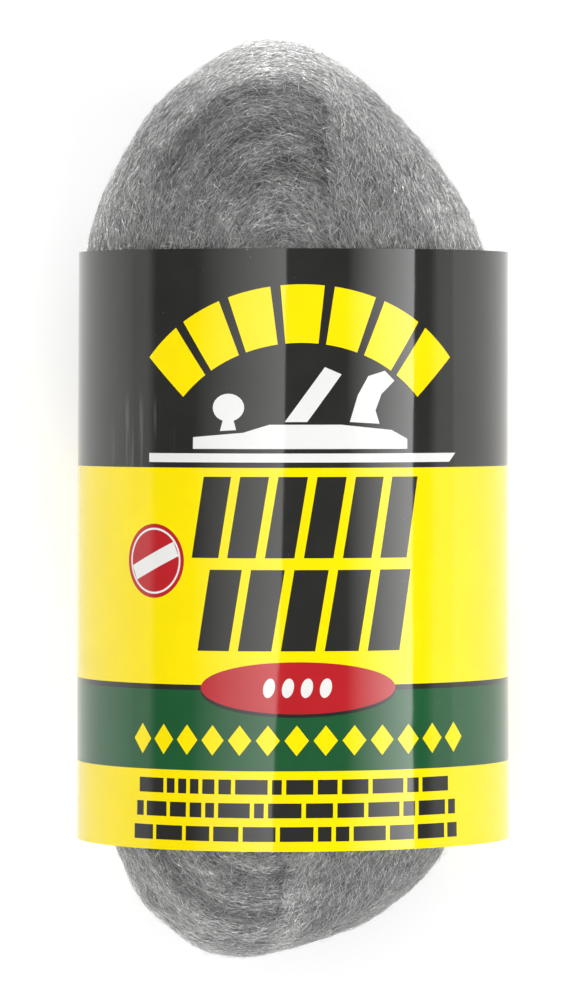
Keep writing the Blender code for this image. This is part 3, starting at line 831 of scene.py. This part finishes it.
def grooveDepth(reach, side, x, y):
    groove = 1 - np.abs(np.sin(math.pi * hank["turns"] * np.minimum(1.0, reach / faceReach)))
    shown = 1 - smoothStep(reach, faceReach, 1.0)
    filled = smoothStep(x, flapEdge(y) - hank["flapFillBlend"], flapEdge(y) + hank["flapFillBlend"])
    groove = groove * np.where(side > 0, 1 - hank["flapFill"] * filled, 1.0)
    drop = hank["groove"] * groove * shown
    step = np.where(side > 0, hank["lastTurnRise"] * (1 - lastTurnShare(reach, x, y)) * shown, 0.0)
    # The seam mask marks where a painted shadow lies beside the ribbon end's raised edge and below the last turn's
    # foot.
    beside = np.exp(-((x - flapEdge(y) + hank["flapBlend"]) / hank["seamShade"]) ** 2)
    below = np.exp(-((reach - lastTurnFoot) * turnsLength / hank["seamShade"] + hank["seamBelow"]) ** 2)
    seam = np.where(side > 0, np.maximum(beside * (reach < lastTurnFoot), below * (x < flapEdge(y))), 0.0)
    return drop + step, groove * shown, seam


# The wool's painted light and shade as one value: above 0 darkens its tone, below 0 lightens it.
def woolPaintedShadingAt(x, y, z, reach, side, groove, seam, low):
    tone = paintedWoolShading
    edge = flapEdge(y) + leanAt(y)
    above, below = smoothStep(y, 0.0, tone["fromMiddle"]), smoothStep(-y, 0.0, tone["fromMiddle"])
    # painted light on the wool's face just beyond each edge of the sleeve, more at the upper edge
    lit = np.exp(-((y - sleeveTop) / tone["litAbove"]) ** 2)
    lit = lit + tone["litBelowShare"] * np.exp(-((y - sleeveBottom) / tone["litBelow"]) ** 2)
    lit = lit * smoothStep(z, 0.0, tone["facing"])
    # painted light on the wool's left side, below the middle and again above it short of the upper tip
    leftLow = smoothStep(-x, *tone["leftLow"][1:]) * below
    leftHigh = smoothStep(-x, *tone["leftHigh"][1:]) * above * smoothStep(y, *tone["highFade"])
    # a lighter band along the ribbon end's edge below the middle, and the ribbon's end darker further right
    edgeBand = np.exp(-((x - edge - tone["edgeBandPlace"]) / tone["edgeBandWidth"]) ** 2) * below * (side > 0)
    ribbon = smoothStep(x, edge + tone["ribbonFrom"], edge + tone["ribbonTo"]) * (side > 0)
    # painted shade in the grooves and a painted shadow beside the ribbon end's seam, less of it below the middle
    paintedShading = tone["groove"] * groove + tone["seam"] * seam * (1 - tone["lowerSeamLess"] * (y < 0))
    # painted shade in the dips between tufts and on the inner turns of the upper end
    paintedShading = paintedShading + tone["tuft"] * low + tone["inner"] * (reach < lastTurnFoot) * (y > 0)
    # painted shade on the lower tip and painted light on the upper tip
    paintedShading = paintedShading + tone["lowerTip"][0] * smoothStep(-y, *tone["lowerTip"][1:])
    paintedShading = paintedShading - tone["upperTip"][0] * smoothStep(y, *tone["upperTip"][1:])
    paintedShading = paintedShading + np.where(y > 0, tone["upperRibbon"], tone["lowerRibbon"]) * ribbon
    paintedShading = paintedShading - tone["lit"] * lit - tone["leftLow"][0] * leftLow - tone["leftHigh"][0] * leftHigh
    return np.clip(paintedShading - tone["edgeBand"] * edgeBand, tone["lightest"], 1)


def hankSurface(turn, reach, side, wantPaintedShading=False):
    roundness = np.where(np.sin(turn) > 0, hank["topRoundness"], hank["bottomRoundness"])
    power = 2 / roundness
    rimX = (radius + hank["springAcross"]) * signedPower(np.cos(turn), power)
    rimY = hank["length"] / 2 * signedPower(np.sin(turn), power)
    rimY = rimY + hank["lowerPull"] * np.maximum(0.0, -np.sin(turn))
    x = rimX * reach
    y = rimY * reach + hank["core"] / 2 * np.sin(turn) * (1 - reach)
    for which, middle, half, deep in dents:
        x = x - which * deep * np.exp(-((y - middle) / half) ** 2) * smoothStep(which * x, 0.0, hank["dentFrom"])
    for which, start, length, bend, share in tips:
        x = np.where(which * x > 0, x * (1 - share * np.clip((-y - start) / length, 0, 1) ** bend), x)
    drop, groove, seam = grooveDepth(reach, side, x, y)
    free = np.where(side > 0, radius, axisHeight) + hank["springUp"]
    crown = np.maximum(0.0, 1 - reach ** hank["faceRoundness"]) ** (1 / hank["faceRoundness"])
    z = side * np.maximum(0.0, free * crown - drop)
    x = (x + leanAt(y)) / flareAt(y)
    angle = np.arctan2(z, x)
    distance = np.hypot(x, z)
    room = roomInside(angle)
    low, high = np.minimum(distance, room), np.maximum(distance, room)
    held = low - hank["softness"] * np.log1p(np.exp((low - high) / hank["softness"]))
    outside = showing(y, hank["tuftFade"])
    tuft = np.sin(hank["tuftsRound"] * turn + 3 * np.sin(turn) + 4 * reach)
    tuft = tuft * np.sin(2 * math.pi * hank["tuftsAcross"] * reach + 2 * np.sin(2 * turn))
    lump = sum(share * hashWave(x, y, z, size, seed) for size, share, seed in hank["lumps"])
    held = held + (hank["tuftHeight"] / 2 * tuft + hank["lump"] * lump) * outside - hank["inset"]
    held = np.maximum(0.0, held)
    height = axisHeight + held * np.sin(angle)
    points = np.stack([held * np.cos(angle) * flareAt(y) - crestShift(y, height), y, height], axis=-1)
    if not wantPaintedShading:
        return points
    return points, woolPaintedShadingAt(x, y, z, reach, side, groove, seam, 0.5 - 0.5 * tuft * outside)


def ringReaches():
    face = faceReach * (np.arange(hank["faceRings"]) + 1) / hank["faceRings"]
    start = math.asin(faceReach)
    share = (np.arange(hank["rimRings"]) + 1) / hank["rimRings"]
    return np.concatenate([face, np.sin(start + (math.pi / 2 - start) * share)])


def makeWoolMaterial(name, values):
    material, tree, shader = startMaterial(name)
    flow = tree.nodes.new("ShaderNodeUVMap")
    flow.uv_map = "flow"
    place = tree.nodes.new("ShaderNodeTexCoord").outputs["Object"]
    streaks = placeGroup(tree, fibreStreaks, {
        "Map": flow.outputs["UV"], "Place": place, "Along": values["along"], "Across": values["across"],
        "Contrast": values["contrast"], "Patches": values["patches"]})
    colour = mixColours(tree, streaks.outputs["Tone"], (*values["dark"], 1.0), (*values["light"], 1.0))
    # Painted shade mixes the streaks' colour towards near-black where the tone attribute is low; painted light takes
    # it back.
    deep = rangeNode(tree, toneNode(tree), *values["toneRange"], values["paintedShadeLevel"], 1.0, smooth=False)
    tree.links.new(mixColours(tree, deep, (*values["paintedShadeColour"], 1.0), colour), shader.inputs["Base Color"])
    rough = rangeNode(tree, streaks.outputs["Tone"], 0.0, 1.0, values["roughDark"], values["roughLight"], smooth=False)
    tree.links.new(rough, shader.inputs["Roughness"])
    metal = rangeNode(tree, streaks.outputs["Tone"], 0.0, 1.0, *values["metal"], smooth=False)
    tree.links.new(metal, shader.inputs["Metallic"])
    bumpNormal(tree, shader, streaks.outputs["Height"], values["bump"], 1.0)
    return material


woolLook = {
    "along": 260.0, "across": 2600.0, "contrast": 1.15, "patches": 170.0,
    "dark": (0.070, 0.070, 0.069), "light": (0.56, 0.56, 0.555), "roughDark": 0.8, "roughLight": 0.5,
    "metal": (0.35, 0.75), "bump": 0.35 * mm,
    # how far painted shade darkens the wool, towards which colour, and over which range of the tone attribute
    "paintedShadeLevel": 0.36, "paintedShadeColour": (0.02, 0.02, 0.02), "toneRange": (0.25, 1.6),
}
fibreLook = {
    "light": (0.80, 0.80, 0.79), "dark": (0.22, 0.22, 0.218), "metallic": 0.70,
    "roughness": 0.50, "darkRougher": 0.12, "lightSmoother": 0.08,
    "spots": 1900.0, "spotsStep": 90, "spotRange": (0.36, 0.64, 0.38, 1.42), "lift": 0.9, "liftStep": 0.06,
}


def setTones(mesh, values):
    layer = mesh.attributes.new("tone", "FLOAT", "POINT")
    layer.data.foreach_set("value", np.asarray(values, np.float32))


def toneNode(tree):
    node = tree.nodes.new("ShaderNodeAttribute")
    node.attribute_name = "tone"
    return node.outputs["Fac"]


def ringFaces(near, far, columns, front):
    faces = []
    for column in range(columns):
        beside = (column + 1) % columns
        corners = (near + column, far + column, far + beside, near + beside)
        faces.append(corners if front else (corners[0], *corners[:0:-1]))
    return faces


def makeHank():
    reaches = ringReaches()
    rings, columns, scale = len(reaches), hank["columns"], hank["flowScale"]
    turns = 2 * math.pi * np.arange(columns) / columns
    points, flows, paintedShadings = [], [], []
    for side in (1.0, -1.0):
        usable = reaches if side > 0 else reaches[:-1]
        turn, reach = np.meshgrid(turns, usable)
        place, paintedShading = hankSurface(turn, reach, side, wantPaintedShading=True)
        points.append(place.reshape(-1, 3))
        paintedShadings.append(paintedShading.ravel())
        rise = np.arccos(np.minimum(1.0, reach ** (hank["faceRoundness"] / 2)))
        flow = np.stack([turn * scale, hank["rimFlow"] + side * rise * scale], axis=-1)
        flows.append(flow.reshape(-1, 2))
    poles = [hankSurface(np.array(0.0), np.array(0.0), side) for side in (1.0, -1.0)]
    coords = np.concatenate(points + [np.array(poles)])
    backFirst = rings * columns
    poleFront, poleBack = len(coords) - 2, len(coords) - 1
    faces = []
    for ring in range(rings - 1):
        faces += ringFaces(ring * columns, (ring + 1) * columns, columns, True)
    for ring in range(rings - 2):
        near = backFirst + ring * columns
        faces += ringFaces(near, near + columns, columns, False)
    faces += ringFaces(backFirst + (rings - 2) * columns, (rings - 1) * columns, columns, False)
    for column in range(columns):
        beside = (column + 1) % columns
        faces += [(poleFront, column, beside), (poleBack, backFirst + beside, backFirst + column)]
    mesh = bpy.data.meshes.new("woolHank")
    mesh.from_pydata(coords.tolist(), [], faces)
    # The tone attribute is one less the painted shading: painted shade lowers it and painted light raises it.
    setTones(mesh, 1 - np.concatenate(paintedShadings + [np.zeros(2)]))
    layer = mesh.uv_layers.new(name="flow")
    corners = np.empty(len(mesh.loops), np.int32)
    mesh.loops.foreach_get("vertex_index", corners)
    flow = np.concatenate(flows + [np.array(hank["poleFlows"])])
    values = flow[corners]
    seam = np.zeros(len(mesh.loops))
    starts = np.empty(len(mesh.polygons), np.int32)
    counts = np.empty(len(mesh.polygons), np.int32)
    mesh.polygons.foreach_get("loop_start", starts)
    mesh.polygons.foreach_get("loop_total", counts)
    for start, count in zip(starts, counts):
        part = values[start:start + count, 0]
        if part.max() - part.min() > 3 * scale:    # a face that crosses from the last column to the first
            seam[start:start + count][part < 2 * scale] = 2 * math.pi * scale
    values[:, 0] += seam
    layer.data.foreach_set("uv", values.astype(np.float32).ravel())
    mesh.materials.append(makeWoolMaterial("steelWool", woolLook))
    mesh.shade_smooth()
    piece = bpy.data.objects.new("woolHank", mesh)
    pieces.objects.link(piece)
    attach(piece, "root")
    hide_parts("wool_hank")
    return piece


woolHank = makeHank()
print("wool body:", len(woolHank.data.polygons), "faces")


# Loose fibres over the wool's two ends, laid along the turns, each a closed three-sided thread.
fibres = {
    "pieces": 4, "perPiece": 9500, "segments": 3,
    "length": (1.5 * mm, 4.8 * mm), "width": (0.07 * mm, 0.12 * mm),
    "spread": 20, "wildShare": 0.45, "wildSpread": 55, "curl": 9.0,
    "lift": 0.30 * mm, "leastLift": 0.03 * mm, "fuzzShare": 0.03, "fuzzLift": (0.3 * mm, 1.5 * mm), "fuzzWidth": 0.6,
    # random tone range and bias, and the share of the wool's painted light and shade that the fibres take on
    "tone": (0.20, 0.88), "toneBias": 1.1, "paintedShadeLevel": 0.6,
    "backShare": 0.35, "backBelow": 0.42, "bare": 1.5 * mm, "mostArea": 0.006, "batch": 60000, "seed": 21,
    "mostRise": 1.5, "mostMove": 0.12,    # radians
    "flapHold": 0.85, "flapCalm": 0.5, "flapBefore": 2 * mm, "flapBeforeLow": 7 * mm, "flapAfter": 2 * mm,
    "outward": (8 * mm, 36 * mm), "flapRim": (0.97, 0.90),
    "paperGap": 0.12 * mm, "opensFrom": 0.2 * mm, "opening": 1.5, "floorGap": 0.35 * mm,
    "tipWidth": 0.45, "taperPower": 0.6,
}


# Rise is the angle over the rim: 0 on it, a right angle at the front's middle, and below 0 on the back.
def ringPlace(rise):
    return np.cos(rise) ** (2 / hank["faceRoundness"]), np.where(rise < 0, -1.0, 1.0)


def surfaceAt(turn, rise, wantPaintedShading=False):
    return hankSurface(turn, *ringPlace(rise), wantPaintedShading=wantPaintedShading)


def sampleSurface(dice, count):
    batch = fibres["batch"]
    found = []
    while sum(len(part[0]) for part in found) < count:
        turn = dice.uniform(0, 2 * math.pi, batch)
        rise = dice.uniform(-fibres["mostRise"], fibres["mostRise"], batch)
        here, byTurn, byRise, _ = surfaceFrame(turn, rise)
        area = np.linalg.norm(np.cross(byTurn, byRise), axis=1)
        weight = np.where(here[:, 2] > fibres["backBelow"] * axisHeight, 1.0, fibres["backShare"])
        bare = (here[:, 1] > sleeveTop - fibres["bare"]) | (here[:, 1] < sleeveBottom + fibres["bare"])
        keep = bare & (dice.uniform(size=batch) < area * weight / fibres["mostArea"])
        found.append((turn[keep], rise[keep]))
    return [np.concatenate([part[n] for part in found])[:count] for n in range(2)]


def unit(vectors):
    return vectors / np.maximum(1e-12, np.linalg.norm(vectors, axis=-1, keepdims=True))


def surfaceFrame(turn, rise):
    step = 2e-3
    here = surfaceAt(turn, rise)
    byTurn = (surfaceAt(turn + step, rise) - surfaceAt(turn - step, rise)) / (2 * step)
    byRise = (surfaceAt(turn, rise + step) - surfaceAt(turn, rise - step)) / (2 * step)
    normal = unit(np.cross(byTurn, byRise))
    middle = np.stack([np.zeros_like(turn), here[:, 1] * 0.6, np.full_like(turn, axisHeight)], axis=-1)
    flip = np.sign(np.sum(normal * (here - middle), axis=1))
    return here, byTurn, byRise, normal * np.where(flip == 0, 1, flip)[:, None]


def fibrePaths(dice, count):
    turn, rise = sampleSurface(dice, count)
    segments = fibres["segments"]
    length = dice.uniform(*fibres["length"], count)
    wild = dice.uniform(size=count) < fibres["wildShare"]
    wildSwing = dice.normal(0, fibres["wildSpread"], count)
    swing = np.radians(np.where(wild, wildSwing, dice.normal(0, fibres["spread"], count)))
    curl = np.radians(dice.normal(0, fibres["curl"], count)) / mm
    fuzz = dice.uniform(size=count) < fibres["fuzzShare"]
    lift = np.abs(dice.normal(0, fibres["lift"], count)) + fibres["leastLift"]
    free = np.where(fuzz, dice.uniform(*fibres["fuzzLift"], count), 0.0)
    heading = np.where(dice.uniform(size=count) < 0.5, 1.0, -1.0)
    path = np.zeros((count, segments + 1, 3))
    normals = np.zeros((count, segments + 1, 3))
    for step in range(segments + 1):
        here, byTurn, byRise, normal = surfaceFrame(turn, rise)
        reach, side = ringPlace(rise)
        share = step / segments
        offset = lift * (0.25 + 0.75 * math.sin(math.pi * share)) + free * share ** 2
        path[:, step] = here + normal * offset[:, None]
        normals[:, step] = normal
        if step == segments // 2:
            paintedShading = surfaceAt(turn, rise, wantPaintedShading=True)[1]
        along = unit(byTurn)
        edge = flapEdge(here[:, 1]) + leanAt(here[:, 1])
        uphill = np.array([0.0, 1.0, 0.0]) - normal * normal[:, 1:2]
        upright = np.stack([np.zeros_like(turn), normal[:, 2], -normal[:, 1]], axis=-1)
        outward = smoothStep(here[:, 0], edge + fibres["outward"][0], edge + fibres["outward"][1])[:, None]
        lengthwise = unit(unit(upright) * (1 - outward) + unit(uphill) * outward)
        before = fibres["flapBefore"] + fibres["flapBeforeLow"] * smoothStep(-here[:, 1], 0.0, paintedWoolShading["fromMiddle"])
        flap = smoothStep(here[:, 0], edge - before, edge + fibres["flapAfter"])
        flap = flap * (side > 0) * smoothStep(reach, *fibres["flapRim"])
        if not step:
            swing = swing * (1 - fibres["flapCalm"] * flap)
        hold = fibres["flapHold"] * flap[:, None]
        along = unit(along * (1 - hold) + lengthwise * hold)
        across = np.cross(normal, along)
        angle = swing + curl * length * share
        direction = along * np.cos(angle)[:, None] + across * np.sin(angle)[:, None]
        stride = direction * (heading * length / segments)[:, None]
        aa = np.sum(byTurn * byTurn, axis=1)
        bb = np.sum(byRise * byRise, axis=1)
        ab = np.sum(byTurn * byRise, axis=1)
        sa = np.sum(byTurn * stride, axis=1)
        sb = np.sum(byRise * stride, axis=1)
        det = np.maximum(1e-12, aa * bb - ab * ab)
        most = fibres["mostMove"]
        turn = turn + np.clip((sa * bb - sb * ab) / det, -most, most)
        rise = rise + np.clip((sb * aa - sa * ab) / det, -most, most)
        rise = np.clip(rise, -fibres["mostRise"], fibres["mostRise"])
    # Each fibre's tone is random, darkened by painted shade and lightened by painted light of the wool beneath it.
    tone = dice.uniform(*fibres["tone"], count) ** fibres["toneBias"] * (1 - fibres["paintedShadeLevel"] * paintedShading)
    return path, normals, tone, np.where(fuzz, fibres["fuzzWidth"], 1.0)


def keepClear(path):
    # under and near the paper the fibres stay inside it, and everywhere above the floor
    x, y, z = path[..., 0], path[..., 1], path[..., 2]
    beyond = np.maximum(y - sleeveTop, sleeveBottom - y)
    dx, dz = x / flareAt(y), z - axisHeight
    angle = np.arctan2(dz, dx)
    distance = np.hypot(dx, dz)
    opened = np.maximum(0.0, beyond - fibres["opensFrom"]) * fibres["opening"]
    allowed = roomInside(angle) + hank["clearance"] - fibres["paperGap"] + opened
    held = np.minimum(distance, allowed)
    path[..., 0] = held * np.cos(angle) * flareAt(y)
    path[..., 2] = np.maximum(axisHeight + held * np.sin(angle), fibres["floorGap"])
    return path


def threadMesh(name, path, normals, width, tone, material):
    count, steps = path.shape[0], path.shape[1]
    tangent = unit(np.gradient(path, axis=1))
    sideways = unit(np.cross(tangent, normals))
    upward = np.cross(sideways, tangent)
    share = np.linspace(0, 1, steps)
    taper = fibres["tipWidth"] + (1 - fibres["tipWidth"]) * np.sin(math.pi * share) ** fibres["taperPower"]
    size = width[:, None] / 2 * taper[None, :]
    ring = []
    for corner in range(3):
        angle = 2 * math.pi * corner / 3
        ring.append(path + (upward * math.cos(angle) + sideways * math.sin(angle)) * size[..., None])
    coords = np.stack(ring, axis=2).reshape(-1, 3)
    base = (np.arange(count) * steps * 3)[:, None, None]
    step = (np.arange(steps - 1) * 3)[None, :, None]
    corner = np.arange(3)[None, None, :]
    a = base + step + corner
    b = base + step + (corner + 1) % 3
    quads = np.stack([a, b, b + 3, a + 3], axis=-1).reshape(-1, 4)
    starts = (np.arange(count) * steps * 3)[:, None]
    firstCaps = starts + np.array([[0, 2, 1]])
    lastCaps = starts + (steps - 1) * 3 + np.array([[0, 1, 2]])
    triangles = np.concatenate([firstCaps, lastCaps])
    mesh = bpy.data.meshes.new(name)
    mesh.vertices.add(len(coords))
    mesh.vertices.foreach_set("co", coords.astype(np.float32).ravel())
    mesh.loops.add(len(quads) * 4 + len(triangles) * 3)
    mesh.loops.foreach_set("vertex_index", np.concatenate([quads.ravel(), triangles.ravel()]).astype(np.int32))
    mesh.polygons.add(len(quads) + len(triangles))
    loopStarts = np.concatenate([np.arange(len(quads)) * 4, len(quads) * 4 + np.arange(len(triangles)) * 3])
    mesh.polygons.foreach_set("loop_start", loopStarts.astype(np.int32))
    mesh.update(calc_edges=True)
    mesh.validate()
    setTones(mesh, np.repeat(tone, steps * 3))
    mesh.materials.append(material)
    piece = bpy.data.objects.new(name, mesh)
    pieces.objects.link(piece)
    return piece


def makeFibreMaterial(number):
    material, tree, shader = startMaterial("woolFibre" + str(number))
    place = tree.nodes.new("ShaderNodeTexCoord").outputs["Object"]
    look = fibreLook
    spots = noiseNode(tree, place, look["spots"] + look["spotsStep"] * number, 2.0, 0.6)
    spots = rangeNode(tree, spots, *look["spotRange"])
    # The tone attribute is each fibre's random tone with the wool's painted light and shade in it.
    share = times(tree, toneNode(tree), spots, clamp=True)
    lift = look["lift"] + look["liftStep"] * number
    dark, light = (tuple(value * lift for value in look[tone]) + (1.0,) for tone in ("dark", "light"))
    tree.links.new(mixColours(tree, share, dark, light), shader.inputs["Base Color"])
    roughness = look["roughness"]
    rough = rangeNode(tree, share, 0.0, 1.0, roughness + look["darkRougher"], roughness - look["lightSmoother"])
    tree.links.new(rough, shader.inputs["Roughness"])
    shader.inputs["Metallic"].default_value = look["metallic"]
    return material


def makeFibres():
    for number in range(fibres["pieces"]):
        dice = np.random.default_rng(fibres["seed"] + number)
        path, normals, tone, fineness = fibrePaths(dice, fibres["perPiece"])
        width = dice.uniform(*fibres["width"], len(path)) * fineness
        name, material = "woolFibres" + str(number + 1), makeFibreMaterial(number)
        piece = threadMesh(name, keepClear(path), normals, width, tone, material)
        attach(piece, "root")
        print("fibres", number + 1, "of", fibres["pieces"], len(piece.data.polygons), "faces")


makeFibres()

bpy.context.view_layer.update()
